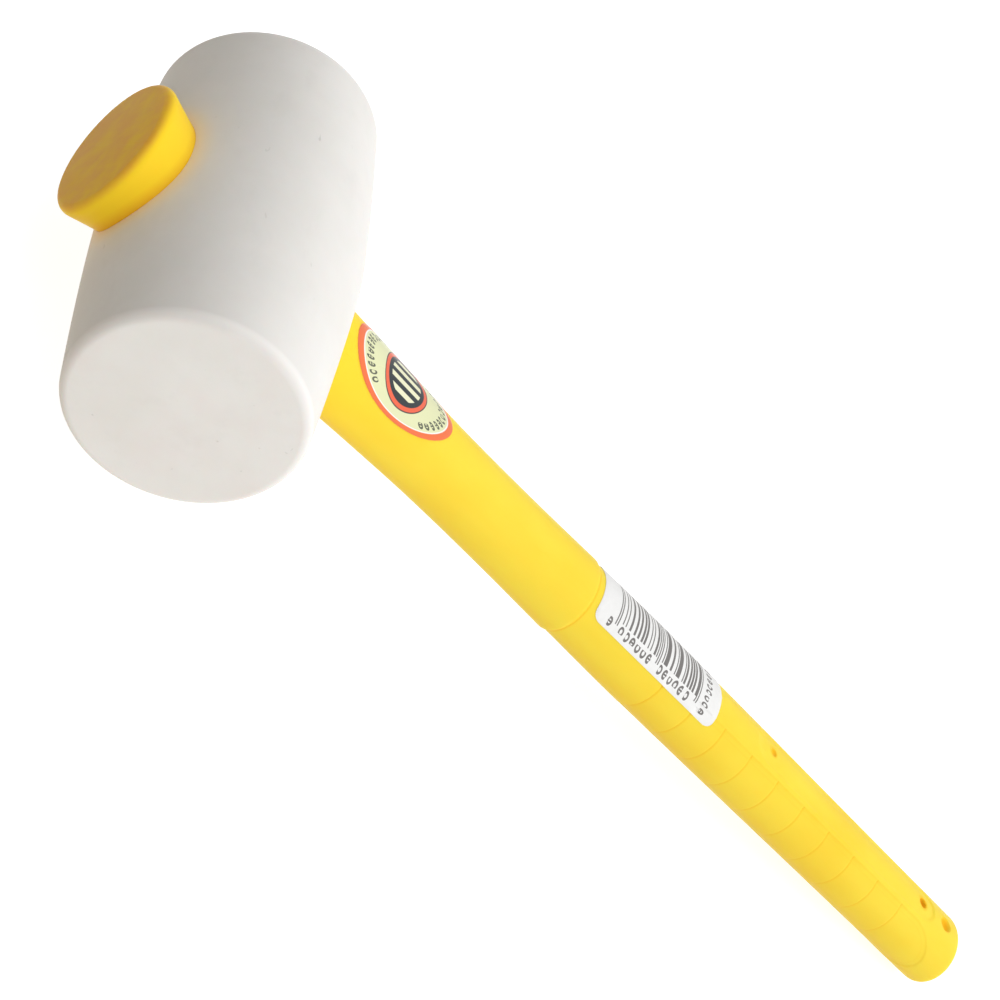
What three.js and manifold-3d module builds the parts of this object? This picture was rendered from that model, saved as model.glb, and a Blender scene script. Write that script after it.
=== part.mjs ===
// A rubber mallet lying on its side: a barrel-shaped rubber head on a moulded plastic handle.
// Sizes are in millimetres. The handle runs along X toward the butt, the head along Y, and Z is up.
import * as THREE from 'three';
import { mergeVertices } from 'three/addons/utils/BufferGeometryUtils.js';
import Module from 'manifold-3d';

// head
const headLength = 112;
const headDiameter = 65;
const faceDiameter = 57.2;
const barrelPower = 1.34;
const faceEdgeRadius = 2.5;

// handle as a whole
const handleLength = 362;
const proudOfHead = 8;
const topWidth = 43.3;
const topThickness = 37.4;
const topEdgeRadius = 3;
const flareHeight = 12.5;
const flareWidth = 37;
const flareThickness = 30.3;
const shaftWidth = 24.6;
const shaftThickness = 21.2;
const eyeExtraWidth = 3.6;
const eyeExtraThickness = 3.2;
const gripWidth = 25.5;
const gripThickness = 22;
const buttWidth = 24.6;
const buttThickness = 21.2;
const buttEdgeRadius = 2.5;

// grip details
const gripLength = 185.5;
const collarStep = 0.5;
const collarRadius = 1;
const scallopPitch = 13.2;
const scallopCount = 9;
const scallopDepth = 0.4;
const scallopStep = 0.3;
const padRecess = 0.15;
const padStart = 34.6;
const padEndMargin = 10.5;
const padHalfAngle = 58;
const padEndBend = 14;
const panelDepth = 0.35;
const panelLength = 94;
const panelEndMargin = 15.5;
const panelHalfAngle = 25;
const panelEndBend = 5.5;
const gateDiameter = 5.6;
const gateFloorDiameter = 2.4;
const gateDepth = 1.6;
const gateMargin = 9;

// core, the pin holes that it was held by while the handle was moulded, and a shallow pin mark
const coreDiameter = 9;
const coreClearance = 0.3;
const coreEndMargin = 16.5;
const coreTopMargin = 16;
const pinHoleDiameter = 3;
const pinHoleMargin = 21.5;
const pinMarkDiameter = 3;
const pinMarkDepth = 0.5;
const pinMarkMargin = 102.5;

// fits and stickers
const eyeClearance = 0.4;
const stickerGap = 0.15;
const stickerThickness = 0.2;
const badgeLength = 38.4;
const badgeWidth = 26;
const badgeFromHead = 2;
const labelLength = 53.7;
const labelWidth = 24.4;
const labelCorner = 3;
const labelFromCollar = 2.6;

// places along the handle, measured from the middle of the head
const headRadius = headDiameter / 2;
const topX = -(headRadius + proudOfHead);
const buttX = topX + handleLength;
const collarX = buttX - gripLength;
const padEndX = buttX - padEndMargin;
const firstGrooveX = collarX + padStart;
const lastGrooveX = firstGrooveX + scallopCount * scallopPitch;
const panelEndX = buttX - panelEndMargin;
const panelStartX = panelEndX - panelLength;
const eyeMouthX = headRadius;

const shaftX = headRadius + 0.45 * (collarX - headRadius);
const coreStartX = topX + coreTopMargin;
const coreEndX = buttX - coreEndMargin;
const coreMiddleX = (coreStartX + coreEndX) / 2;
const eyeWidth = shaftWidth + eyeExtraWidth;
const eyeThickness = shaftThickness + eyeExtraThickness;

// half width and half thickness of the handle at x, part of the way from a wide place to a slim one
function station(x, wide, slim, part) {
  return [x, wide[0] + (slim[0] - wide[0]) * part, wide[1] + (slim[1] - wide[1]) * part];
}

const flareHalf = [flareWidth / 2, flareThickness / 2];
const eyeHalf = [eyeWidth / 2, eyeThickness / 2];
const shaftHalf = [shaftWidth / 2, shaftThickness / 2];
const shaftStations = [
  [topX, topWidth / 2, topThickness / 2],
  station(topX + flareHeight, flareHalf, eyeHalf, 0),
  station(-0.45 * headRadius, flareHalf, eyeHalf, 0.58),
  station(0, flareHalf, eyeHalf, 0.78),
  station(eyeMouthX, flareHalf, eyeHalf, 1),
  station((eyeMouthX + shaftX) / 2, eyeHalf, shaftHalf, 0.58),
  station(shaftX, eyeHalf, shaftHalf, 1),
  station((shaftX + collarX) / 2, eyeHalf, shaftHalf, 1),
  [collarX, shaftWidth / 2 + collarStep, shaftThickness / 2 + collarStep],
];
const gripStations = [
  [collarX, shaftWidth / 2, shaftThickness / 2],
  [collarX + 0.15 * gripLength, gripWidth / 2, gripThickness / 2],
  [collarX + 0.36 * gripLength, gripWidth / 2, gripThickness / 2],
  [collarX + 0.7 * gripLength, buttWidth / 2 + 0.15, buttThickness / 2 + 0.15],
  [buttX, buttWidth / 2, buttThickness / 2],
];

// smooth curve through a table of stations
function between(stations, x) {
  const last = stations.length - 1;
  let i = 0;
  while (i < last - 1 && x > stations[i + 1][0]) {
    i += 1;
  }
  const a = stations[i];
  const b = stations[i + 1];
  const before = stations[Math.max(i - 1, 0)];
  const after = stations[Math.min(i + 2, last)];
  const span = b[0] - a[0];
  const t = Math.min(Math.max((x - a[0]) / span, 0), 1);
  return [1, 2].map((k) => {
    const slopeA = (b[k] - before[k]) / (b[0] - before[0]) * span;
    const slopeB = (after[k] - a[k]) / (after[0] - a[0]) * span;
    const t2 = t * t;
    const t3 = t2 * t;
    return (2 * t3 - 3 * t2 + 1) * a[k] + (t3 - 2 * t2 + t) * slopeA
      + (3 * t2 - 2 * t3) * b[k] + (t3 - t2) * slopeB;
  });
}

// plain oval section of the handle at x, with its rounded top edge, collar edge and butt edge
function section(x) {
  const [width, thickness] = between(x < collarX ? shaftStations : gripStations, x);
  let inset = 0;
  const fromTop = x - topX;
  const toButt = buttX - x;
  const toCollar = collarX - x;
  if (fromTop < topEdgeRadius) {
    inset = roundedInset(fromTop, topEdgeRadius);
  }
  if (toButt < buttEdgeRadius) {
    inset = roundedInset(toButt, buttEdgeRadius);
  }
  if (toCollar >= 0 && toCollar < collarRadius) {
    inset = roundedInset(toCollar, collarRadius) * collarStep;
  }
  return [width - inset, thickness - inset];
}

function roundedInset(distance, radius) {
  const drop = radius - distance;
  return radius - Math.sqrt(Math.max(radius * radius - drop * drop, 0));
}

// 0 outside, 1 inside, with a short ramp of the given width ending at the edge
function ramp(inside, width) {
  return Math.min(Math.max(inside / width, 0), 1);
}

// share of its full angle that a rounded end still reaches, a given distance inside the end
function endReach(inside, bend) {
  return inside < bend ? Math.sqrt(Math.max(1 - (1 - inside / bend) ** 2, 0)) : 1;
}

// how far the grip surface is cut in below the plain oval; angle is in degrees from +Z.
// Each scallop steps in at its groove, then rises toward the butt until the next groove.
function cutDepth(x, angle) {
  const fromTopSide = Math.min(angle % 180, 180 - (angle % 180));
  const fromPadMiddle = 90 - fromTopSide;
  let depth = 0;
  if (x > firstGrooveX && x < padEndX) {
    const reach = padHalfAngle * endReach(padEndX - x, padEndBend);
    const past = (x - firstGrooveX) / scallopPitch;
    const since = (past - Math.min(Math.floor(past), scallopCount)) * scallopPitch;
    const rise = ramp(since - scallopStep, scallopPitch - scallopStep);
    const fall = ramp(since, scallopStep);
    const opening = ramp(x - firstGrooveX, scallopStep);
    depth = ramp(reach - fromPadMiddle, 5) * (padRecess * opening + scallopDepth * fall * (1 - rise));
  }
  const cap = Math.min(x - panelStartX, panelEndX - x);
  if (cap > 0) {
    const reach = panelHalfAngle * endReach(cap, panelEndBend);
    depth = Math.max(depth, panelDepth * ramp(reach - fromTopSide, 4));
  }
  return depth;
}

// a point on the handle, out from the oval by lift, at an angle in degrees from +Z toward +Y
function handlePoint(x, angle, lift) {
  const [width, thickness] = section(x);
  const a = THREE.MathUtils.degToRad(angle);
  const normal = new THREE.Vector3(0, Math.sin(a) / width, Math.cos(a) / thickness).normalize();
  return new THREE.Vector3(x, width * Math.sin(a), thickness * Math.cos(a)).addScaledVector(normal, lift);
}

// closed surface through rings of points, capped by a point at each end
function skin(startPoint, rings, endPoint) {
  const count = rings[0].length;
  const points = [startPoint, ...rings.flat(), endPoint];
  const index = [];
  for (let i = 0; i < count; i += 1) {
    const j = (i + 1) % count;
    index.push(0, 1 + i, 1 + j);
    for (let r = 0; r < rings.length - 1; r += 1) {
      const a = 1 + r * count;
      const b = a + count;
      index.push(a + i, b + j, a + j, a + i, b + i, b + j);
    }
    const lastRing = 1 + (rings.length - 1) * count;
    index.push(lastRing + j, lastRing + i, points.length - 1);
  }
  const geometry = new THREE.BufferGeometry().setFromPoints(points);
  geometry.setIndex(index);
  return geometry;
}

// solid arithmetic on closed geometries
const wasm = await Module();
wasm.setup();

function toSolid(geometry) {
  const bare = geometry.clone();
  bare.deleteAttribute('normal');
  bare.deleteAttribute('uv');
  const merged = mergeVertices(bare, 1e-4);
  return new wasm.Manifold(new wasm.Mesh({
    numProp: 3,
    vertProperties: new Float32Array(merged.attributes.position.array),
    triVerts: new Uint32Array(merged.index.array),
  }));
}

function fromSolid(solid) {
  const mesh = solid.getMesh();
  const geometry = new THREE.BufferGeometry();
  geometry.setAttribute('position', new THREE.BufferAttribute(new Float32Array(mesh.vertProperties), 3));
  geometry.setIndex(new THREE.BufferAttribute(new Uint32Array(mesh.triVerts), 1));
  return geometry;
}

// upright round hole through a given stretch of height
function uprightRod(x, diameter, low, high, segments = 24) {
  return new THREE.CylinderGeometry(diameter / 2, diameter / 2, high - low, segments)
    .rotateX(Math.PI / 2).translate(x, 0, (low + high) / 2);
}

function materialOf(color, roughness) {
  return new THREE.MeshStandardMaterial({ color, roughness, metalness: 0 });
}

const part = new THREE.Group();
part.name = 'rubber_mallet';

function addPiece(name, geometry, material) {
  const mesh = new THREE.Mesh(geometry, material);
  mesh.name = name;
  part.add(mesh);
}

// rubber head: a barrel turned about Y, with the tapered oval eye cut through it along X
function barrelRadius(y) {
  const bow = Math.abs(2 * y / headLength) ** barrelPower;
  return headRadius - (headRadius - faceDiameter / 2) * bow;
}

function headGeometry() {
  const half = headLength / 2;
  const profile = [new THREE.Vector2(0, -half)];
  const edgeSteps = 4;
  const edgeMiddleY = half - faceEdgeRadius;
  const edgeMiddleR = barrelRadius(edgeMiddleY) - faceEdgeRadius;
  for (let i = 0; i <= edgeSteps; i += 1) {
    const a = i / edgeSteps * Math.PI / 2;
    const r = edgeMiddleR + faceEdgeRadius * Math.sin(a);
    profile.push(new THREE.Vector2(r, -edgeMiddleY - faceEdgeRadius * Math.cos(a)));
  }
  const barrelSteps = 8;
  for (let i = 1; i <= barrelSteps; i += 1) {
    const y = -edgeMiddleY * (1 - i / barrelSteps);
    profile.push(new THREE.Vector2(barrelRadius(y), y));
  }
  const mirrored = profile.slice(0, -1).reverse().map((p) => new THREE.Vector2(p.x, -p.y));
  const barrel = toSolid(new THREE.LatheGeometry([...profile, ...mirrored], 72));
  const rings = [];
  const reach = headRadius + 2;
  const ringCount = 12;
  const around = 48;
  for (let r = 0; r <= ringCount; r += 1) {
    const x = -reach + 2 * reach * r / ringCount;
    const ring = [];
    for (let i = 0; i < around; i += 1) {
      ring.push(handlePoint(x, i * 360 / around, eyeClearance));
    }
    rings.push(ring);
  }
  const eye = toSolid(skin(new THREE.Vector3(-reach, 0, 0), rings, new THREE.Vector3(reach, 0, 0)));
  return fromSolid(barrel.subtract(eye));
}

addPiece('rubber_head', headGeometry(), materialOf(0xf0efe9, 0.75));

// handle: oval sections skinned from the flared top to the butt, then bored for the core,
// its pin holes, the pin marks and the gate recess on the top side
function handleStations() {
  const tailX = lastGrooveX + scallopPitch;
  const spans = [
    [topX, topEdgeRadius, [0, 0.12, 0.45, 1]],
    [topX + topEdgeRadius, flareHeight - topEdgeRadius, [0.5, 1]],
    [topX + flareHeight, eyeMouthX - topX - flareHeight, [0.2, 0.45, 0.7, 1]],
    [eyeMouthX, collarX - eyeMouthX, [0.12, 0.25, 0.4, 0.6, 0.8, 0.93]],
    [collarX, -collarRadius, [1, 0.4, 0.1, 0.001]],
    [collarX, padStart, [0.001, 0.3, 0.55, 0.8]],
    [tailX, padEndX - tailX, [0.35, 0.6, 0.8, 0.92, 1]],
    [panelStartX, panelEndBend, [0, 0.2, 0.55]],
    [panelEndX, -panelEndBend, [0, 0.2]],
    [buttX, -buttEdgeRadius, [1, 0.5, 0.15, 0]],
  ];
  for (let i = 0; i <= scallopCount; i += 1) {
    const grooveX = firstGrooveX + i * scallopPitch;
    spans.push([grooveX, scallopStep, [0, 1]], [grooveX, scallopPitch, [0.35, 0.7]]);
  }
  const stations = spans.flatMap(([start, span, shares]) => shares.map((share) => start + span * share));
  stations.sort((a, b) => a - b);
  return stations.filter((x, i) => i === 0 || x - stations[i - 1] > 0.009);
}

// shallow cone-shaped recess sunk in the top side
function gateRecess(x) {
  const surface = handlePoint(x, 0, 0).z;
  const overrun = 1;
  const slope = (gateDiameter - gateFloorDiameter) / gateDepth;
  const mouth = gateDiameter + slope * overrun;
  return new THREE.CylinderGeometry(mouth / 2, gateFloorDiameter / 2, gateDepth + overrun, 24)
    .rotateX(Math.PI / 2).translate(x, 0, surface + (overrun - gateDepth) / 2);
}

function handleGeometry() {
  const quarter = [0, 8, 15, 21, 25, 32, 37, 45, 56, 67, 78];
  const back = [0, ...quarter.slice(1).reverse().map((angle) => 90 - angle)];
  const angles = [0, 90, 180, 270].flatMap((turn) => {
    const steps = turn % 180 === 0 ? quarter : back;
    return steps.map((angle) => turn + angle);
  });
  const rings = handleStations().map((x) => (
    angles.map((angle) => handlePoint(x, angle, -cutDepth(x, angle)))
  ));
  const body = toSolid(skin(new THREE.Vector3(topX, 0, 0), rings, new THREE.Vector3(buttX, 0, 0)));
  const boreRadius = coreDiameter / 2 + coreClearance;
  const boreLength = coreEndX - coreStartX + 2 * coreClearance;
  const bore = new THREE.CylinderGeometry(boreRadius, boreRadius, boreLength, 24)
    .rotateZ(Math.PI / 2).translate(coreMiddleX, 0, 0);
  const markX = buttX - pinMarkMargin;
  const markFloor = handlePoint(markX, 0, -panelDepth - pinMarkDepth).z;
  const cutters = [
    bore,
    uprightRod(buttX - pinHoleMargin, pinHoleDiameter, -gripThickness, gripThickness),
    uprightRod(markX, pinMarkDiameter, markFloor, gripThickness),
    uprightRod(markX, pinMarkDiameter, -gripThickness, -markFloor),
    gateRecess(buttX - gateMargin),
  ];
  return fromSolid(cutters.reduce((solid, cutter) => solid.subtract(toSolid(cutter)), body));
}

addPiece('handle', handleGeometry(), materialOf(0xfad732, 0.4));

// handle core: a round rod inside the handle
function coreGeometry() {
  return new THREE.CylinderGeometry(coreDiameter / 2, coreDiameter / 2, coreEndX - coreStartX, 24)
    .rotateZ(Math.PI / 2).translate(coreMiddleX, 0, 0);
}

addPiece('handle_core', coreGeometry(), materialOf(0x4a3a2c, 0.6));

// angle round the handle whose distance along the surface from +Z is the one asked for
function angleAt(x, distance) {
  const [width, thickness] = section(x);
  let walked = 0;
  let angle = 0;
  const step = 0.5;
  while (walked < Math.abs(distance)) {
    const a = THREE.MathUtils.degToRad(angle + step / 2);
    const arc = Math.hypot(width * Math.cos(a), thickness * Math.sin(a));
    walked += arc * THREE.MathUtils.degToRad(step);
    angle += step;
  }
  return angle * Math.sign(distance);
}

// sticker: a thin sheet wrapped on the top side; outline gives (along, around) for a turn from 0 to 1
function stickerGeometry(middleX, around, outline) {
  const ringSteps = 6;
  const place = (scale, i, lift) => {
    const [along, across] = outline(i / around);
    const x = middleX + along * scale;
    return handlePoint(x, angleAt(x, -across * scale), lift);
  };
  const rings = [];
  const inner = stickerGap;
  const outer = stickerGap + stickerThickness;
  for (let r = 1; r <= ringSteps; r += 1) {
    rings.push(Array.from({ length: around }, (_, i) => place(r / ringSteps, i, inner)));
  }
  for (let r = ringSteps; r >= 1; r -= 1) {
    rings.push(Array.from({ length: around }, (_, i) => place(r / ringSteps, i, outer)));
  }
  return skin(handlePoint(middleX, 0, inner), rings, handlePoint(middleX, 0, outer));
}

// badge: an oval sheet just below the head
function badgeOutline(turn) {
  const a = turn * 2 * Math.PI;
  return [badgeLength / 2 * Math.cos(a), badgeWidth / 2 * Math.sin(a)];
}

const badgeX = headRadius + badgeFromHead + badgeLength / 2;
addPiece('badge_sticker', stickerGeometry(badgeX, 56, badgeOutline), materialOf(0xf0a070, 0.35));

// bar code label: an oblong sheet with round corners just below the collar
const labelSides = [
  { x: 1, y: 0, length: labelWidth - 2 * labelCorner },
  { x: 0, y: 1, length: labelLength - 2 * labelCorner },
  { x: -1, y: 0, length: labelWidth - 2 * labelCorner },
  { x: 0, y: -1, length: labelLength - 2 * labelCorner },
];
const labelArc = labelCorner * Math.PI / 2;
const labelRound = labelSides.reduce((sum, side) => sum + side.length + labelArc, 0);

function labelOutline(turn) {
  let walked = turn * labelRound;
  let i = 0;
  while (i < 3 && walked > labelSides[i].length + labelArc) {
    walked -= labelSides[i].length + labelArc;
    i += 1;
  }
  const side = labelSides[i];
  const halfAlong = labelLength / 2 - labelCorner;
  const halfAcross = labelWidth / 2 - labelCorner;
  const along = Math.min(walked, side.length);
  const a = Math.max(walked - side.length, 0) / labelCorner;
  const startX = side.x * (halfAlong + labelCorner) + side.y * halfAlong;
  const startY = side.y * (halfAcross + labelCorner) - side.x * halfAcross;
  const out = labelCorner * (1 - Math.cos(a));
  const on = along + labelCorner * Math.sin(a);
  return [startX - side.y * on - side.x * out, startY + side.x * on - side.y * out];
}

const labelX = collarX + labelFromCollar + labelLength / 2;
addPiece('barcode_label', stickerGeometry(labelX, 84, labelOutline), materialOf(0xf6f6f4, 0.4));

// tip the butt down until the barrel and the butt both touch the ground, then stand it on z = 0
const restArm = buttX - buttEdgeRadius;
const restRise = buttThickness / 2 - buttEdgeRadius;
const restDrop = headRadius - buttEdgeRadius;
const tilt = Math.atan2(restArm, restRise) - Math.acos(restDrop / Math.hypot(restArm, restRise));
const box = new THREE.Box3();
for (const mesh of part.children) {
  mesh.geometry.rotateY(tilt);
  mesh.geometry.computeBoundingBox();
  box.union(mesh.geometry.boundingBox);
}
const middle = box.getCenter(new THREE.Vector3());
for (const mesh of part.children) {
  mesh.geometry.translate(-middle.x, -middle.y, -box.min.z);
  mesh.geometry.computeVertexNormals();
}

export default part;
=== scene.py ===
"""A rubber mallet lying on its side on a pale floor: white barrel head, yellow moulded handle."""

import math

import bpy
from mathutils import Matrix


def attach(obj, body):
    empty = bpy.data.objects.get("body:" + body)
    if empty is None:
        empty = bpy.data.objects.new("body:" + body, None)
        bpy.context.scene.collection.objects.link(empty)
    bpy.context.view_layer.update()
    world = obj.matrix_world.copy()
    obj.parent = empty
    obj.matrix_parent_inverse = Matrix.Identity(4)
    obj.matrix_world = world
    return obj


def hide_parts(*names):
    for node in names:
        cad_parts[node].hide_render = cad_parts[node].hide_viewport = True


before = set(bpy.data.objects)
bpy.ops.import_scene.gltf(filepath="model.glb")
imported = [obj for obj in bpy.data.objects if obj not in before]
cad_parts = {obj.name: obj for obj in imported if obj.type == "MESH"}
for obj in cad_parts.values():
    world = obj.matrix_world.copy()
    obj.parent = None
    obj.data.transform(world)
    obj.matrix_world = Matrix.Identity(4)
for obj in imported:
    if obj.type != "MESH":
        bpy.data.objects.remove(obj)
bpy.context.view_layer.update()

# ---------------------------------------------------------------------------------------------
# Camera and studio. The mallet lies on its side on a pale floor, seen from above one striking
# face, with the camera rolled so that the handle runs down to the right.
scene = bpy.context.scene
scene.view_settings.view_transform = "Standard"
scene.view_settings.look = "None"

bpy.ops.object.select_all(action="DESELECT")
bpy.ops.object.camera_add(location=(-0.33669, -0.45235, 0.35545))
camera = bpy.context.object
camera.rotation_euler = [math.radians(a) for a in (40.1567, -47.7331, 8.0905)]
camera.data.lens = 87.52
camera.data.sensor_width = 36
camera.data.clip_start = 0.01
scene.camera = camera

# The room is brightest up and toward the butt, dim and a little warm behind the head, and some
# light comes back up from below.
world = bpy.data.worlds.new("soft room")
scene.world = world
world.use_nodes = True
room = world.node_tree


def room_node(kind, operation, *inputs):
    made = room.nodes.new(kind)
    made.operation = operation
    for i, value in enumerate(inputs):
        if isinstance(value, bpy.types.NodeSocket):
            room.links.new(value, made.inputs[i])
        else:
            made.inputs[i].default_value = value
    return made.outputs["Value"]


room_slope = (0.66, -0.29, 0.68)
room_level = 0.57
bounce_slope = (0, 0, -0.95)
facing = room.nodes.new("ShaderNodeTexCoord").outputs["Generated"]
from_above = room_node("ShaderNodeVectorMath", "DOT_PRODUCT", facing, room_slope)
from_above = room_node("ShaderNodeMath", "ADD", from_above, room_level)
from_below = room_node("ShaderNodeVectorMath", "DOT_PRODUCT", facing, bounce_slope)
from_below = room_node("ShaderNodeMath", "MAXIMUM", from_below, 0.0)
level = room_node("ShaderNodeMath", "MAXIMUM", from_above, 0.02)
level = room_node("ShaderNodeMath", "ADD", level, from_below)
warmth = room.nodes.new("ShaderNodeMapRange")
warmth.inputs["From Min"].default_value = 0.15
warmth.inputs["From Max"].default_value = 0.8
tint = room.nodes.new("ShaderNodeMix")
tint.data_type = "RGBA"
tint.inputs[6].default_value = (1.0, 0.88, 0.70, 1)
tint.inputs[7].default_value = (1.0, 1.0, 1.0, 1)
room.links.new(from_above, warmth.inputs["Value"])
room.links.new(warmth.outputs["Result"], tint.inputs[0])
room.links.new(tint.outputs[2], room.nodes["Background"].inputs["Color"])
room.links.new(level, room.nodes["Background"].inputs["Strength"])


def softbox(name, place, aim, size, power):
    """A square soft light at a place, turned to shine at a point."""
    bpy.ops.object.light_add(type="AREA", location=place)
    light = bpy.context.object
    light.name = name
    light.data.shape = "SQUARE"
    light.data.size = size
    light.data.energy = power
    reach = [a - p for a, p in zip(aim, place)]
    across = math.hypot(reach[0], reach[1])
    light.rotation_euler = (math.atan2(across, -reach[2]), 0, math.atan2(-reach[0], reach[1]))


softbox("key", (1.4, -0.8, 0.82), (0.0, 0.0, 0.03), 1.1, 2.6)

bpy.ops.object.select_all(action="DESELECT")
bpy.ops.mesh.primitive_plane_add(size=8, location=(0, 0, -0.0002))
floor = bpy.context.object
floor.name = "floor"
floor_paint = bpy.data.materials.new("floor paint")
floor_paint.use_nodes = True
floor_shader = floor_paint.node_tree.nodes["Principled BSDF"]
floor_shader.inputs["Base Color"].default_value = (0.45, 0.45, 0.45, 1)
floor_shader.inputs["Roughness"].default_value = 0.9
floor_shader.inputs["Emission Color"].default_value = (1, 1, 1, 1)
floor_shader.inputs["Emission Strength"].default_value = 0.8
floor.data.materials.append(floor_paint)
floor.visible_diffuse = False

# ---------------------------------------------------------------------------------------------
# Rubber head. A moulded white rubber barrel, widest in the middle, with a flat striking face at
# each end and a small rounded edge. A tapered oval eye runs through it for the handle.
head_length = 0.112
head_radius = 0.0325
face_radius = 0.0286
barrel_power = 1.34
face_edge = 0.0025
head_middle = (-0.13991, 0, 0.0325)
droop = 0.0687662

# half width and half thickness of the handle, measured along it from the middle of the head
top_end = -0.0405
butt_end = 0.3215
collar = 0.136
shaft_sizes = [
    (-0.0405, 0.02165, 0.0187),
    (-0.0280, 0.0185, 0.01515),
    (-0.014625, 0.015948, 0.013439),
    (0.0, 0.015068, 0.012849),
    (0.0325, 0.0141, 0.0122),
    (0.0557875, 0.013056, 0.011272),
    (0.079075, 0.0123, 0.0106),
    (0.1075375, 0.0123, 0.0106),
    (0.136, 0.0128, 0.0111),
]
grip_sizes = [
    (0.136, 0.0123, 0.0106),
    (0.163825, 0.01275, 0.0110),
    (0.20278, 0.01275, 0.0110),
    (0.26585, 0.01245, 0.01075),
    (0.3215, 0.0123, 0.0106),
]


def between(sizes, x):
    """Half width and half thickness at x, on a smooth curve through a table of stations."""
    i = 0
    while i < len(sizes) - 2 and x > sizes[i + 1][0]:
        i += 1
    a, b = sizes[i], sizes[i + 1]
    before, after = sizes[max(i - 1, 0)], sizes[min(i + 2, len(sizes) - 1)]
    span = b[0] - a[0]
    t = min(max((x - a[0]) / span, 0), 1)
    found = []
    for k in (1, 2):
        slope_a = (b[k] - before[k]) / (b[0] - before[0]) * span
        slope_b = (after[k] - a[k]) / (after[0] - a[0]) * span
        value = (2 * t**3 - 3 * t**2 + 1) * a[k] + (t**3 - 2 * t**2 + t) * slope_a
        found.append(value + (3 * t**2 - 2 * t**3) * b[k] + (t**3 - t**2) * slope_b)
    return found


def bar(name, stations, sides):
    """A bar along X: an oval disc extruded from station to station, (x, half y, half z)."""
    x, wide, thick = stations[0]
    bpy.ops.object.select_all(action="DESELECT")
    across = (0, math.pi / 2, 0)
    bpy.ops.mesh.primitive_circle_add(vertices=sides, radius=1, fill_type="NGON", rotation=across)
    piece = bpy.context.object
    piece.name = name
    bpy.ops.object.transform_apply(location=True, rotation=True, scale=True)
    bpy.ops.object.mode_set(mode="EDIT")
    bpy.ops.mesh.select_mode(type="FACE")
    bpy.ops.mesh.select_all(action="SELECT")
    bpy.ops.transform.resize(value=(1, wide, thick), center_override=(0, 0, 0))
    bpy.ops.transform.translate(value=(x, 0, 0))
    for next_x, next_wide, next_thick in stations[1:]:
        bpy.ops.mesh.extrude_region_move(TRANSFORM_OT_translate={"value": (next_x - x, 0, 0)})
        bpy.ops.transform.resize(
            value=(1, next_wide / wide, next_thick / thick), center_override=(next_x, 0, 0)
        )
        x, wide, thick = next_x, next_wide, next_thick
    bpy.ops.mesh.select_all(action="SELECT")
    bpy.ops.mesh.normals_make_consistent(inside=False)
    bpy.ops.object.mode_set(mode="OBJECT")
    return piece


def settle(piece, turn=0.0):
    """Turns a piece built round the middle of the head to where it lies, and fixes it there."""
    bpy.ops.object.select_all(action="DESELECT")
    piece.select_set(True)
    bpy.context.view_layer.objects.active = piece
    piece.rotation_euler = (0, 0, turn)
    bpy.ops.object.transform_apply(location=True, rotation=True, scale=True)
    piece.rotation_euler = (0, droop, 0)
    piece.location = head_middle
    bpy.ops.object.transform_apply(location=True, rotation=True, scale=True)


def finish_with(piece, kind, **settings):
    """Adds a modifier to a piece and applies it at once."""
    bpy.ops.object.select_all(action="DESELECT")
    piece.select_set(True)
    bpy.context.view_layer.objects.active = piece
    modifier = piece.modifiers.new(kind.title(), kind)
    for setting, value in settings.items():
        setattr(modifier, setting, value)
    bpy.ops.object.modifier_apply(modifier=modifier.name)


def cut(piece, cutter):
    """Takes one solid out of another and removes the cutter."""
    finish_with(piece, "BOOLEAN", operation="DIFFERENCE", object=cutter, solver="EXACT")
    bpy.data.objects.remove(cutter)


def smooth(piece, degrees):
    bpy.ops.object.select_all(action="DESELECT")
    piece.select_set(True)
    bpy.context.view_layer.objects.active = piece
    bpy.ops.object.shade_smooth_by_angle(angle=math.radians(degrees))


def barrel_radius(along):
    return head_radius - (head_radius - face_radius) * abs(2 * along / head_length) ** barrel_power


edge_at = head_length / 2 - face_edge
edge_radius = barrel_radius(edge_at) - face_edge
head_stations = []
for step in range(9):
    a = math.radians(step * 11.25)
    r = edge_radius + face_edge * math.sin(a)
    head_stations.append((-edge_at - face_edge * math.cos(a), r, r))
for step in range(1, 36):
    at = -edge_at * (1 - step / 35)
    head_stations.append((at, barrel_radius(at), barrel_radius(at)))
head_stations += [(-at, r, r) for at, r, r in reversed(head_stations[:-1])]
head = bar("mallet_head", head_stations, 192)
settle(head, math.pi / 2)

# the eye grips the handle at the flared end and eases off to a small gap at the shaft end
eye_stations = []
for step in range(41):
    at = -0.036 + 0.072 * step / 40
    wide, thick = between(shaft_sizes, at)
    ease = 0.00005 + 0.00035 * min(max((at + 0.02) / 0.05, 0), 1)
    eye_stations.append((at, wide + ease, thick + ease))
eye = bar("eye", eye_stations, 128)
settle(eye)
cut(head, eye)
smooth(head, 28)


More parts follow.
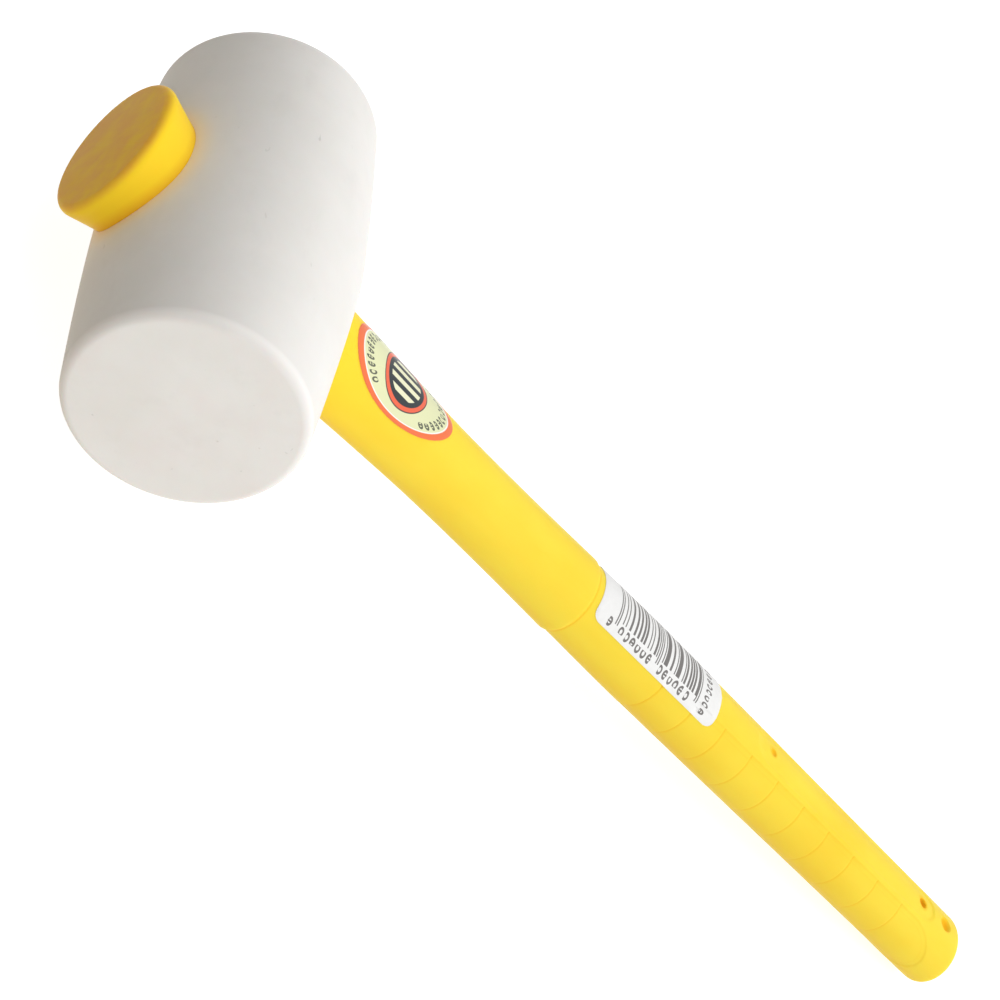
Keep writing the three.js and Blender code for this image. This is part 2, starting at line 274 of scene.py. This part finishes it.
class Value:
    """A shader socket that takes part in Python arithmetic: each sum adds its Math node."""

    def __init__(self, shop, socket):
        self.shop = shop
        self.socket = socket

    def _math(self, operation, *others):
        return self.shop.node("ShaderNodeMath", {"operation": operation}, self, *others)

    def __add__(self, other):
        return self._math("ADD", other)

    def __sub__(self, other):
        return self._math("SUBTRACT", other)

    def __mul__(self, other):
        return self._math("MULTIPLY", other)

    def __truediv__(self, other):
        return self._math("DIVIDE", other)

    def __rsub__(self, other):
        return self.shop.node("ShaderNodeMath", {"operation": "SUBTRACT"}, other, self)

    def __gt__(self, other):
        return self._math("GREATER_THAN", other)

    def __lt__(self, other):
        return self._math("LESS_THAN", other)

    def __abs__(self):
        return self._math("ABSOLUTE")

    def __pow__(self, other):
        return self._math("POWER", other)

    def least(self, other):
        return self._math("MINIMUM", other)

    def most(self, other):
        return self._math("MAXIMUM", other)

    def whole(self):
        return self._math("FLOOR")

    def root(self):
        return self._math("SQRT")

    def wave(self):
        return self._math("COSINE")

    def angle(self, other):
        return self._math("ARCTAN2", other)

    def ramp(self, low, high):
        """0 at low, 1 at high, straight between and flat outside."""
        settings = {"clamp": True}
        return self.shop.node("ShaderNodeMapRange", settings, self, low, high, 0.0, 1.0)


class Finish:
    """One material being mixed: a principled shader and the nodes that feed it."""

    def __init__(self, name, **constants):
        self.material = bpy.data.materials.new(name)
        self.material.use_nodes = True
        self.tree = self.material.node_tree
        self.shader = self.tree.nodes["Principled BSDF"]
        for socket, value in constants.items():
            self.shader.inputs[socket.replace("_", " ")].default_value = value

    def node(self, kind, settings, *inputs, out=0, **named):
        made = self.tree.nodes.new(kind)
        for key, value in settings.items():
            setattr(made, key, value)
        wanted = list(enumerate(inputs)) + [(key.replace("_", " "), v) for key, v in named.items()]
        for key, value in wanted:
            if isinstance(value, Value):
                self.tree.links.new(value.socket, made.inputs[key])
            elif value is not None:
                made.inputs[key].default_value = value
        return Value(self, made.outputs[out])

    def place(self, location=(0, 0, 0), rotation=(0, 0, 0), scale=(1, 1, 1)):
        at = self.node("ShaderNodeTexCoord", {}, out="Object")
        moved = self.node("ShaderNodeMapping", {"vector_type": "TEXTURE"}, at, location, rotation, scale)
        return moved

    def axes(self, vector):
        return [self.node("ShaderNodeSeparateXYZ", {}, vector, out=axis) for axis in "XYZ"]

    def clouds(self, vector, scale, detail=3.0, roughness=0.5):
        return self.node(
            "ShaderNodeTexNoise", {}, vector, Scale=scale, Detail=detail, Roughness=roughness
        )

    def chance(self, number):
        """A value from 0 to 1 that looks random but is always the same for one number."""
        return self.node("ShaderNodeTexWhiteNoise", {"noise_dimensions": "1D"}, W=number)

    def blend(self, amount, first, second):
        """One colour over another by an amount from 0 to 1."""
        made = self.tree.nodes.new("ShaderNodeMix")
        made.data_type = "RGBA"
        for key, value in ((0, amount), (6, first), (7, second)):
            if isinstance(value, Value):
                self.tree.links.new(value.socket, made.inputs[key])
            else:
                made.inputs[key].default_value = value
        return Value(self, made.outputs[2])

    def dent(self, height, distance, strength=1.0):
        bump = self.node("ShaderNodeBump", {}, Height=height, Distance=distance, Strength=strength)
        self.feed("Normal", bump)

    def feed(self, socket, value):
        self.tree.links.new(value.socket, self.shader.inputs[socket])

    def paint(self, piece):
        piece.data.materials.clear()
        piece.data.materials.append(self.material)


# White rubber: warm white with soft smudges, small nicks, faint pink patches on the striking
# faces, a paler worn line round their edges and a yellow tint round the wide end of the eye, partly
# stain and partly painted yellow light thrown onto the rubber by the plug.
eye_rim_half = (0.0178, 0.0146)
rubber = Finish(
    "white rubber",
    Specular_IOR_Level=0.35,
    Subsurface_Weight=0.12,
    Subsurface_Scale=0.004,
)
spot = rubber.place()
mottle = rubber.clouds(spot, 60.0, 4.0, 0.6)
broad = rubber.clouds(spot, 26.0, 2.0, 0.5)
smudges = rubber.clouds(rubber.place(scale=(1, 2.5, 1)), 120.0, 4.0, 0.65)
nicks = rubber.clouds(rubber.place(scale=(1, 3, 1)), 420.0, 2.0, 0.5)
from_face = head_length / 2 - abs(rubber.axes(spot)[1])
on_face = from_face.ramp(0.0012, 0.0002)
rim = from_face.ramp(0.0030, 0.0022) * (1 - from_face.ramp(0.0015, 0.0005))
white = rubber.blend(mottle.ramp(0.35, 0.7), (0.785, 0.77, 0.745, 1), (0.755, 0.74, 0.71, 1))
white = rubber.blend(broad.ramp(0.5, 0.75) * 0.35, white, (0.715, 0.685, 0.635, 1))
white = rubber.blend(smudges.ramp(0.58, 0.78) * 0.16, white, (0.60, 0.58, 0.55, 1))
pink = rubber.clouds(spot, 55.0, 3.0, 0.5).ramp(0.5, 0.75) * on_face * 0.3
white = rubber.blend(pink, white, (0.735, 0.62, 0.60, 1))
white = rubber.blend(rim * 0.5, white, (0.87, 0.855, 0.835, 1))
white = rubber.blend(nicks.ramp(0.74, 0.80) * 0.5, white, (0.50, 0.48, 0.45, 1))
along, across, up = rubber.axes(rubber.place(location=head_middle, rotation=(0, droop, 0)))
across_eye = across / eye_rim_half[0]
up_eye = up / eye_rim_half[1]
from_eye = (across_eye * across_eye + up_eye * up_eye).root()
# partly a stain and partly painted yellow light bounced from the plug onto the rubber round the eye
stain_and_plug_bounce = (1 - from_eye.ramp(1.0, 1.38)) ** 1.6 * along.ramp(-0.012, -0.018)
white = rubber.blend(stain_and_plug_bounce * 0.62, white, (0.98, 0.66, 0.22, 1))
rubber.feed("Base Color", white)
rubber.feed("Roughness", mottle * 0.12 + 0.55)
rubber.dent(rubber.clouds(spot, 900.0, 3.0, 0.6) * 0.3 + mottle - nicks.ramp(0.74, 0.80), 0.0002, 0.35)
rubber.paint(head)
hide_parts("rubber_head")
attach(head, "head_body")

# ---------------------------------------------------------------------------------------------
# Handle. One satin yellow plastic moulding: a flared oval top that the head seats against, a
# slim oval shaft ending in a small collar, then a grip with finger scallops down both edges,
# smooth side panels, pin holes and a pin mark on both sides, and a gate recess by the butt.
first_groove = 0.1706
groove_pitch = 0.0132
groove_count = 10
groove_step = 0.0003
line_width = 0.00022
line_depth = 0.00012
pad_depth = 0.00015
scallop_depth = 0.00036
grip_half = (0.0126, 0.0109)
pad_half_width = 0.0125
pad_reach = 58.0
pad_end = 0.311
pad_bend = 0.014
panel_start = 0.212
panel_end = 0.306
panel_bend = 0.0055
panel_reach = 25
panel_depth = 0.0003
pin_mark_at = 0.219
pin_hole_at = 0.300
gate_at = 0.3125
collar_edge = 0.001
top_edge = 0.003
butt_edge = 0.0025
deepest = 0.0007


def rounded(distance, radius):
    """How far a rounded edge has fallen back at a distance from the end."""
    return radius - math.sqrt(max(radius**2 - (radius - distance) ** 2, 0))


def handle_section(x):
    wide, thick = between(shaft_sizes if x < collar else grip_sizes, x)
    fall = 0.0
    if x - top_end < top_edge:
        fall = rounded(x - top_end, top_edge)
    if butt_end - x < butt_edge:
        fall = rounded(butt_end - x, butt_edge)
    if 0 <= collar - x < collar_edge:
        fall = rounded(collar - x, collar_edge) * 0.5
    return wide - fall, thick - fall


places = {top_end + top_edge * (1 - math.cos(math.radians(a * 10))) for a in range(1, 10)}
places |= {top_end + 0.00002}
places |= {-0.0375 + 0.07 * i / 44 for i in range(45)}
places |= {0.0325 + 0.1015 * i / 52 for i in range(1, 53)}
places |= {collar - collar_edge * i / 6 for i in range(1, 7)}
places |= {collar - 0.00003, collar + 0.00003, collar + 0.0004, collar + 0.001}
places |= {0.139 + 0.0242 * i / 16 for i in range(17)}
for i in range(groove_count):
    middle = first_groove + i * groove_pitch
    for off in (-0.0006, -0.0002, 0.00001, 0.0001, 0.0002, 0.0003, 0.0004, 0.0006, 0.001):
        places |= {middle + off}
    places |= {middle + 0.001 + 0.0015 * step for step in range(1, 8)}
places |= {0.2962 + 0.0218 * i / 40 for i in range(1, 41)}
places |= {butt_end - butt_edge * (1 - math.cos(math.radians(a * 10))) for a in range(1, 10)}
places |= {butt_end - 0.00001}
ordered = []
for x in sorted(places):
    if not ordered or x - ordered[-1] > 0.00002:
        ordered.append(x)
handle = bar("mallet_handle", [(x, *handle_section(x)) for x in ordered], 192)


def pressed(x, y, z):
    """How deep the grip's moulded pattern goes at a point, from 0 to 1."""
    wide, thick = handle_section(x)
    from_top = abs(math.degrees(math.atan2(y / wide, z / thick)))
    from_top = min(from_top, 180 - from_top)
    depth = 0.0
    if first_groove < x < pad_end:
        reach = pad_reach * math.sqrt(1 - max(1 - (pad_end - x) / pad_bend, 0) ** 2)
        inside = min(max((reach - 90 + from_top) / 4, 0), 1)
        inside *= inside * (3 - 2 * inside)
        groove = min((x - first_groove) // groove_pitch, groove_count - 1)
        since = x - first_groove - groove * groove_pitch
        rise = min(max((since - groove_step) / (groove_pitch - groove_step), 0), 1)
        fall = min(since / groove_step, 1)
        line = math.exp(-(((since - groove_step) / line_width) ** 2))
        depth = inside * (pad_depth + scallop_depth * fall * (1 - rise) + line_depth * line)
    cap = min(x - panel_start, panel_end - x)
    if cap > 0:
        squeeze = math.sqrt(1 - max(1 - cap / panel_bend, 0) ** 2)
        inside = min(max((panel_reach * squeeze - from_top) / 3.2, 0), 1)
        depth = max(depth, panel_depth * inside * inside * (3 - 2 * inside))
    return depth / deepest


pattern = handle.vertex_groups.new(name="moulded pattern")
for point in handle.data.vertices:
    x, y, z = point.co
    if x > first_groove - 0.002:
        depth = pressed(x, y, z)
        if depth > 0.001:
            pattern.add([point.index], depth, "REPLACE")
finish_with(handle, "DISPLACE", vertex_group=pattern.name, mid_level=0.0, strength=-deepest)


def cut_holes(x, rings, sides=(-1, 1)):
    """Cuts a round hole into the flat sides of the handle, from its (height, radius) rings."""
    for side in sides:
        pin = bar("pin", [(height, radius, radius) for height, radius in rings], 48)
        pin.rotation_euler = (0, -side * math.pi / 2, 0)
        pin.location = (x, 0, 0)
        bpy.ops.object.transform_apply(location=True, rotation=True, scale=True)
        cut(handle, pin)


core_radius = 0.0045
core_ends = (-0.0245, 0.305)
bore_radius = core_radius + 0.0003
bore_ends = (core_ends[0] - 0.0003, core_ends[1] + 0.0003)
cut(handle, bar("bore", [(at, bore_radius, bore_radius) for at in bore_ends], 48))
pin_mark = [(0.0101, 0.0004), (0.01018, 0.0008), (0.0104, 0.0012), (0.0107, 0.0015), (0.0113, 0.0022)]
pin_hole = [(0.0004, 0.0015), (0.0098, 0.0015), (0.0101, 0.0016), (0.0104, 0.002), (0.0112, 0.003)]
gate = [(0.009, 0.0008), (0.0092, 0.0013), (0.0097, 0.0018), (0.0103, 0.0024), (0.0112, 0.0036)]
cut_holes(pin_mark_at, pin_mark)
cut_holes(pin_hole_at, pin_hole)
cut_holes(gate_at, gate, sides=(1,))
settle(handle)
smooth(handle, 32)

# Yellow plastic: clear warm yellow, deeper orange on the flared top, with painted shade as deeper orange
# on the neck by the head, underneath, on the end face of the top, where the top meets the head, in the
# grooves, along the moulded borders of the scalloped pads, at the collar step and inside the holes.
plastic = Finish(
    "yellow plastic",
    Specular_IOR_Level=0.03,
    Subsurface_Weight=0.25,
    Subsurface_Radius=(1.0, 0.6, 0.25),
    Subsurface_Scale=0.004,
)
spot = plastic.place()
swirl = plastic.clouds(plastic.place(scale=(4, 1, 1)), 90.0, 3.0, 0.5)
grain = plastic.clouds(spot, 1400.0, 2.0, 0.5)
blotch = plastic.clouds(spot, 130.0, 3.0, 0.6)
along, across, up = plastic.axes(plastic.place(location=head_middle, rotation=(0, droop, 0)))
yellow = plastic.blend(swirl.ramp(0.3, 0.7), (0.93, 0.68, 0.055, 1), (0.96, 0.735, 0.07, 1))
broad = plastic.clouds(spot, 28.0, 2.0, 0.5)
yellow = plastic.blend(broad.ramp(0.45, 0.7) * 0.4, yellow, (0.94, 0.61, 0.04, 1))
# deeper orange on the flared top, its own colour, running on past the head onto the neck as painted
# shade from the head
top = along.ramp(0.07, 0.0)
yellow = plastic.blend(top, yellow, (1.0, 0.66, 0.028, 1))
# painted shade: deeper orange on the underside of the handle
yellow = plastic.blend(up.ramp(-0.001, -0.010) * 0.35, yellow, (0.96, 0.56, 0.03, 1))
# the end face of the flared top is darker orange: painted shade for the dim side it faces, with blotches
# of uneven tone
end_face = along.ramp(-0.0388, -0.0402)
yellow = plastic.blend(end_face * (blotch.ramp(0.35, 0.65) * 0.5 + 0.3), yellow, (0.90, 0.44, 0.07, 1))
from_head_axis = (along * along + up * up).root()
# painted shade: darker orange round the flared top where it meets the rubber head
head_contact_shade = from_head_axis.ramp(0.0250, 0.0300) * (1 - from_head_axis.ramp(0.0318, 0.0350)) * (along < 0)
yellow = plastic.blend(head_contact_shade * 0.55, yellow, (0.80, 0.34, 0.02, 1))
round_angle = abs((across / grip_half[0]).angle(up / grip_half[1]))
pad_across = abs(round_angle - math.pi / 2) / math.radians(pad_reach)
pad_along = (along - (pad_end - pad_bend)).most(0.0) / pad_bend
from_border = ((pad_across * pad_across + pad_along * pad_along).root() - 1) * pad_half_width
border = 1 - abs(from_border + 0.0003).ramp(0.00015, 0.0004)
second_border = 1 - abs(from_border + 0.0019).ramp(0.00015, 0.0004)
since_first = along - first_groove
since = since_first - (since_first / groove_pitch).whole().least(groove_count - 1.0) * groove_pitch
line = (1 - abs(since - groove_step).ramp(0.0002, 0.0009)) * (from_border < 0)
# painted shade: darker orange in the groove lines and along the pad borders
moulded = (line * 0.34).most(border * 0.12).most(second_border * 0.07)
moulded = moulded * (since_first > -groove_step)
yellow = plastic.blend(moulded, yellow, (0.86, 0.46, 0.012, 1))
# painted shade: a darker orange line at the collar step
collar_shade_line = 1 - abs(along - collar - 0.0001).ramp(0.0003, 0.0008)
yellow = plastic.blend(collar_shade_line * 0.42, yellow, (0.86, 0.46, 0.012, 1))
# painted shade: deeper orange inside the pin holes, the pin marks and the gate recess
hole_shade = 0.0
everywhere = -1.0
top_side = 0.0
hole_shade_spots = (
    (pin_mark_at, 0.0010, everywhere),
    (pin_hole_at, 0.0016, everywhere),
    (gate_at, 0.0018, top_side),
)
for hole_at, hole_radius, lowest in hole_shade_spots:
    from_axis = ((along - hole_at) * (along - hole_at) + across * across).root()
    this_hole_shade = (1 - from_axis.ramp(hole_radius, hole_radius + 0.0012)) * (up > lowest)
    hole_shade = this_hole_shade.most(hole_shade)
yellow = plastic.blend(hole_shade * 0.85, yellow, (0.98, 0.52, 0.015, 1))
plastic.feed("Base Color", yellow)
plastic.feed("Roughness", swirl * 0.1 + grain * 0.06 + 0.3)
plastic.dent(grain * 0.3 + swirl - border * 0.6 - second_border * 0.4, 0.00012, 0.3)
plastic.paint(handle)
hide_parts("handle")
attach(handle, "handle_body")

# ---------------------------------------------------------------------------------------------
# Handle core. A plain dark rod of filled plastic moulded inside the handle to stiffen it; only
# its sides show, at the bottom of the pin holes.
core_stations = []
for at, fall in ((0, 0.0006), (0.0002, 0.0002), (0.0006, 0)):
    core_stations.append((core_ends[0] + at, core_radius - fall, core_radius - fall))
for i in range(1, 40):
    at = core_ends[0] + 0.0006 + (core_ends[1] - core_ends[0] - 0.0012) * i / 40
    core_stations.append((at, core_radius, core_radius))
for at, fall in ((0.0006, 0), (0.0002, 0.0002), (0, 0.0006)):
    core_stations.append((core_ends[1] - at, core_radius - fall, core_radius - fall))
core = bar("core_rod", core_stations, 48)
settle(core)
smooth(core, 40)
filled = Finish("dark filled plastic", Roughness=0.6)
streak = filled.clouds(filled.place(scale=(6, 1, 1)), 300.0, 3.0, 0.6)
filled.feed("Base Color", filled.blend(streak, (0.30, 0.16, 0.04, 1), (0.42, 0.24, 0.06, 1)))
filled.dent(streak, 0.0001, 0.4)
filled.paint(core)
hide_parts("handle_core")
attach(core, "handle_body")

# ---------------------------------------------------------------------------------------------
# Badge sticker. An oval of glossy printed film stuck on the shaft just below the head: an orange
# band round a cream field with a row of plain marks, and a ringed, striped disc in the middle.
badge_middle = 0.0537
badge_half = (0.0192, 0.013)
badge_round = 0.0128
sticker_thickness = 0.00014


def rings_inward(rings):
    """Fills the selected flat outline with ever smaller copies of itself, down to its middle."""
    for ring in range(rings):
        bpy.ops.mesh.extrude_region_move(TRANSFORM_OT_translate={"value": (0, 0, 0)})
        shrink = (rings - ring - 0.8) / (rings - ring + 0.2)
        bpy.ops.transform.resize(value=(shrink, 1, shrink), center_override=(0, 0, 0))
    bpy.ops.mesh.poke()


def wrapped_sheet(name, middle, thickness):
    """A flat sheet bent round the handle's top side at a place along it, then pressed on."""
    sheet = bpy.context.object
    sheet.name = name
    wide, thick = handle_section(middle)
    low = min(point.co.z for point in sheet.data.vertices)
    high = max(point.co.z for point in sheet.data.vertices)
    round_by = (high - low) / (wide * 1.02)
    finish_with(sheet, "SIMPLE_DEFORM", deform_method="BEND", deform_axis="X", angle=round_by)
    sheet.rotation_euler = (-math.pi / 2, 0, 0)
    sheet.location = (middle, 0, wide * 1.02)
    bpy.ops.object.transform_apply(location=True, rotation=True, scale=True)
    settle(sheet)
    finish_with(
        sheet, "SHRINKWRAP", target=handle, wrap_method="NEAREST_SURFACEPOINT",
        wrap_mode="ABOVE_SURFACE", offset=0.00004,
    )
    finish_with(sheet, "SOLIDIFY", thickness=thickness, offset=1)
    smooth(sheet, 40)
    return sheet


upright = (math.pi / 2, 0, 0)
bpy.ops.object.select_all(action="DESELECT")
bpy.ops.mesh.primitive_circle_add(vertices=128, radius=1, fill_type="NGON", rotation=upright)
bpy.ops.object.transform_apply(location=True, rotation=True, scale=True)
bpy.ops.object.mode_set(mode="EDIT")
bpy.ops.mesh.select_mode(type="FACE")
bpy.ops.mesh.select_all(action="SELECT")
bpy.ops.transform.resize(value=(badge_half[0], 1, badge_half[1]), center_override=(0, 0, 0))
rings_inward(24)
bpy.ops.object.mode_set(mode="OBJECT")
badge = wrapped_sheet("badge", badge_middle, sticker_thickness)


def figure(shop, u, v, number):
    """A made-up printed figure in a cell that runs from -1 to 1: a broken ring, often barred."""
    turn = (shop.chance(number * 1.73 + 0.37) * 4).whole() * (math.pi / 2)
    gap = (u * turn.wave() + v * (turn - math.pi / 2).wave()) > 0.5
    ring = abs((u * u + v * v).root() - 0.7) < 0.25
    barred = (shop.chance(number * 2.31 + 5.1) > 0.35) * (abs(v) < 0.17) * (abs(u) < 0.7)
    return (ring * (1 - gap)).most(barred)


mark_count = 38
stripe_pitch = 0.0032
film = Finish("printed film", Roughness=0.3, Coat_Weight=0.1, Specular_IOR_Level=0.25)
on_handle = film.place(location=head_middle, rotation=(0, droop, 0))
along, across, up = film.axes(on_handle)
around = across.angle(up) * badge_round
long_part = (along - badge_middle) / badge_half[0]
wide_part = around / badge_half[1]
edge = (long_part * long_part + wide_part * wide_part).root()
from_disc = ((along - badge_middle) * (along - badge_middle) + around * around * 0.8).root()
inside_band = edge.ramp(0.885, 0.895)
age = film.clouds(on_handle, 120.0, 3.0, 0.6)
cream = film.blend(age.ramp(0.4, 0.7) * 0.3, (0.74, 0.76, 0.46, 1), (0.67, 0.70, 0.42, 1))
mark_place = wide_part.angle(long_part) * (mark_count / math.tau)
mark_number = mark_place.whole()
mark_u = (mark_place - mark_number - 0.5) * 2.5
mark_v = (edge - 0.76) * 12.5
marks = figure(film, mark_u, mark_v, mark_number) * (abs(long_part) > 0.42)
cream = film.blend(marks * 0.9, cream, (0.05, 0.06, 0.05, 1))
cream = film.blend(edge.ramp(0.865, 0.872), cream, (0.90, 0.90, 0.86, 1))
printed = film.blend(inside_band, cream, (0.83, 0.165, 0.05, 1))
disc = film.blend(from_disc.ramp(0.0069, 0.0070), (0.025, 0.035, 0.04, 1), (0.82, 0.13, 0.06, 1))
disc = film.blend(from_disc.ramp(0.0080, 0.0081), disc, (0.05, 0.05, 0.05, 1))
stripe_place = around / stripe_pitch + 0.5
stripe = abs(stripe_place - stripe_place.whole() - 0.5)
bars = stripe.ramp(0.24, 0.27) * (1 - from_disc.ramp(0.0056, 0.0057))
disc = film.blend(bars, disc, (0.80, 0.80, 0.55, 1))
printed = film.blend(from_disc.ramp(0.0083, 0.0084), disc, printed)
film.feed("Base Color", printed)
film.feed("Roughness", age * 0.15 + 0.22)
film.dent(age, 0.00005, 0.4)
film.paint(badge)
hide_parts("badge_sticker")
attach(badge, "handle_body")

# ---------------------------------------------------------------------------------------------
# Bar code label. An oblong white paper label with round corners, stuck on the grip just below
# the collar, printed with made-up bars and rows of small made-up figures.
label_middle = 0.16545
label_half = (0.02685, 0.0122)
label_corner = 0.003
label_round = 0.0121
bars_from = 0.0073
bar_step = 0.000394
figure_pitch = 0.0025
end_pitch = 0.0022

bpy.ops.object.select_all(action="DESELECT")
bpy.ops.mesh.primitive_plane_add(size=2, rotation=upright)
bpy.ops.object.transform_apply(location=True, rotation=True, scale=True)
bpy.ops.object.mode_set(mode="EDIT")
bpy.ops.mesh.select_mode(type="VERT")
bpy.ops.mesh.select_all(action="SELECT")
bpy.ops.transform.resize(value=(label_half[0], 1, label_half[1]), center_override=(0, 0, 0))
bpy.ops.mesh.bevel(offset=label_corner, segments=8, affect="VERTICES")
bpy.ops.object.mode_set(mode="OBJECT")
blank = bpy.context.object
for line_cuts, axis in ((39, 0), (15, 2)):
    for edge_line in blank.data.edges:
        ends = [blank.data.vertices[i].co for i in edge_line.vertices]
        edge_line.select = abs(ends[0][axis] - ends[1][axis]) > 2 * label_corner
    bpy.ops.object.mode_set(mode="EDIT")
    bpy.ops.mesh.select_mode(type="EDGE")
    bpy.ops.mesh.subdivide(number_cuts=line_cuts)
    bpy.ops.mesh.select_all(action="DESELECT")
    bpy.ops.object.mode_set(mode="OBJECT")
bpy.ops.object.mode_set(mode="EDIT")
bpy.ops.mesh.select_mode(type="FACE")
bpy.ops.mesh.select_all(action="SELECT")
rings_inward(28)
bpy.ops.object.mode_set(mode="OBJECT")
label = wrapped_sheet("label", label_middle, sticker_thickness)

paper = Finish("label paper", Roughness=0.45)
on_handle = paper.place(location=head_middle, rotation=(0, droop, 0))
along, across, up = paper.axes(on_handle)
around = across.angle(up) * label_round
from_start = along - (label_middle - label_half[0])
from_low = around + label_half[1]

# each group of seven steps holds two bars and two gaps, with guard lines at the ends and middle
step_number = ((from_start - bars_from) / bar_step).whole()
in_group = step_number - 3 - (step_number > 47.5) * 5
group = (in_group / 7).whole()
place_in_group = in_group - group * 7
gap = (paper.chance(group * 1.7 + 0.6) * 3).whole() + 1
first_bar = gap + (paper.chance(group * 2.9 + 4.2) * 2).whole() + 1
second_gap = first_bar + (paper.chance(group * 3.3 + 8.9) * 2).whole() + 1
dark = (place_in_group > gap - 0.5) * (place_in_group < first_bar - 0.5)
dark = dark.most(place_in_group > second_gap - 0.5)
guard = (step_number < 2.5).most(step_number > 91.5).most(abs(step_number - 47) < 2.5)
even_step = (step_number * 0.5 - (step_number * 0.5).whole()) < 0.25
dark = (dark * (1 - guard)).most(even_step * guard)
within = (step_number > -0.5) * (step_number < 94.5)
bars = dark * within * (from_low > 0.0052 - guard * 0.0016) * (from_low < 0.0226)

# one lone figure, then two rows of six below the bars, and a row running across the far end
row_place = (from_start - 0.0092) / figure_pitch
row_number = row_place.whole()
row_u = (row_place - row_number - 0.5) * 2.5
row_v = (from_low - 0.0031) / 0.0016
row = (row_number > -0.5) * (row_number < 12.5) * (abs(row_number - 6) > 0.5)
row = row.most(abs(row_number + 2) < 0.5)
figures = figure(paper, row_u, row_v, row_number) * row * (abs(row_v) < 1)
end_place = (from_low - 0.0018) / end_pitch
end_number = end_place.whole()
end_u = (end_place - end_number - 0.5) * 2.5
end_v = (0.0478 - from_start) / 0.0014
end_row = (end_number > -0.5) * (end_number < 7.5) * (abs(end_v) < 1)
figures = figures.most(figure(paper, end_u, end_v, end_number + 30) * end_row)
ink = bars.most(figures)
fibre = paper.clouds(on_handle, 700.0, 3.0, 0.6)
sheet_white = paper.blend(fibre.ramp(0.3, 0.7), (0.79, 0.79, 0.785, 1), (0.83, 0.83, 0.825, 1))
paper.feed("Base Color", paper.blend(ink * 0.92, sheet_white, (0.09, 0.08, 0.075, 1)))
paper.feed("Roughness", fibre * 0.1 + 0.4)
paper.dent(fibre, 0.00005, 0.3)
paper.paint(label)
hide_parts("barcode_label")
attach(label, "handle_body")
